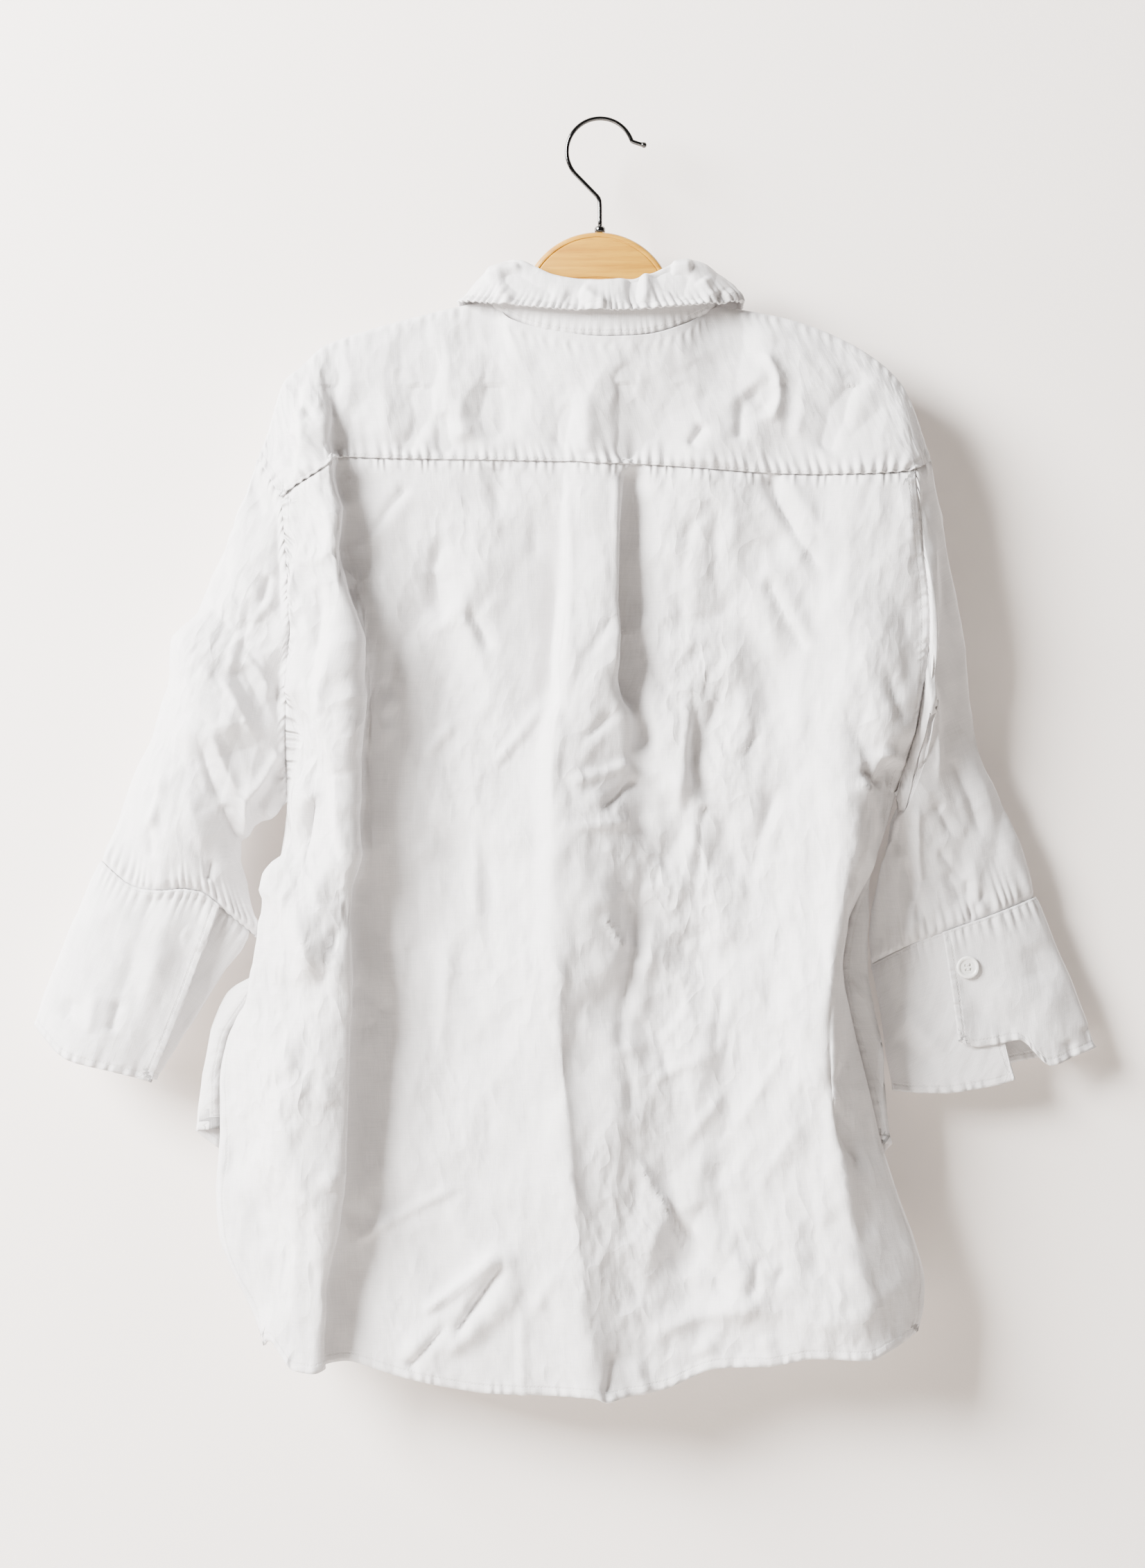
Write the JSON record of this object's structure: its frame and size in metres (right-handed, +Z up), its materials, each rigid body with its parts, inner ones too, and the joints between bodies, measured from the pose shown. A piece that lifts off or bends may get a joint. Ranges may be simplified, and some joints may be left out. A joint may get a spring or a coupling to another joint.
{
  "type": "crumpled blouse on a hanger",
  "caption": "A crumpled linen blouse with a collar, a pleated back and deep cuffs, hanging buttoned on a wooden hanger by its wire hook",
  "frame": {"origin": "the inner top of the hook, where it rests on a rail", "axes": "+Z up; the blouse's back faces -Y and its buttoned front faces +Y; +X is the wearer's right"},
  "size_m": [0.8348, 0.101, 0.9963],
  "materials": {
    "back_panel": "crumpled slub linen, undyed white",
    "yoke": "crumpled slub linen, undyed white",
    "front_left": "crumpled slub linen, undyed white",
    "front_right": "crumpled slub linen, undyed white",
    "button_band": "crumpled slub linen, undyed white",
    "buttonhole_band": "crumpled slub linen, undyed white",
    "sleeve_left": "crumpled slub linen, undyed white",
    "sleeve_right": "crumpled slub linen, undyed white",
    "cuff_left": "crumpled slub linen, undyed white",
    "cuff_right": "crumpled slub linen, undyed white",
    "collar_stand": "crumpled slub linen, undyed white",
    "collar_fall": "crumpled slub linen, undyed white",
    "front_button_1": "pearly white, four holes",
    "front_button_2": "pearly white, four holes",
    "front_button_3": "pearly white, four holes",
    "front_button_4": "pearly white, four holes",
    "front_button_5": "pearly white, four holes",
    "front_button_6": "pearly white, four holes",
    "cuff_button_right": "pearly white, four holes",
    "cuff_button_left": "pearly white, four holes",
    "hanger_wood": "clear satin varnish",
    "hook_wire": "bright plated",
    "ferrule": "bright plated"
  },
  "bodies": {
    "root": {"back_panel": "back_panel", "yoke": "yoke", "front_left": "front_left", "front_right": "front_right", "button_band": "button_band", "buttonhole_band": "buttonhole_band", "sleeve_left": "sleeve_left", "sleeve_right": "sleeve_right", "cuff_left": "cuff_left", "cuff_right": "cuff_right", "collar_stand": "collar_stand", "collar_fall": "collar_fall", "front_button_1": "front_button_1", "front_button_2": "front_button_2", "front_button_3": "front_button_3", "front_button_4": "front_button_4", "front_button_5": "front_button_5", "front_button_6": "front_button_6", "cuff_button_right": "cuff_button_right", "cuff_button_left": "cuff_button_left", "hanger_wood": "hanger_wood", "hook_wire": "hook_wire", "ferrule": "ferrule"}
  },
  "joints": []
}
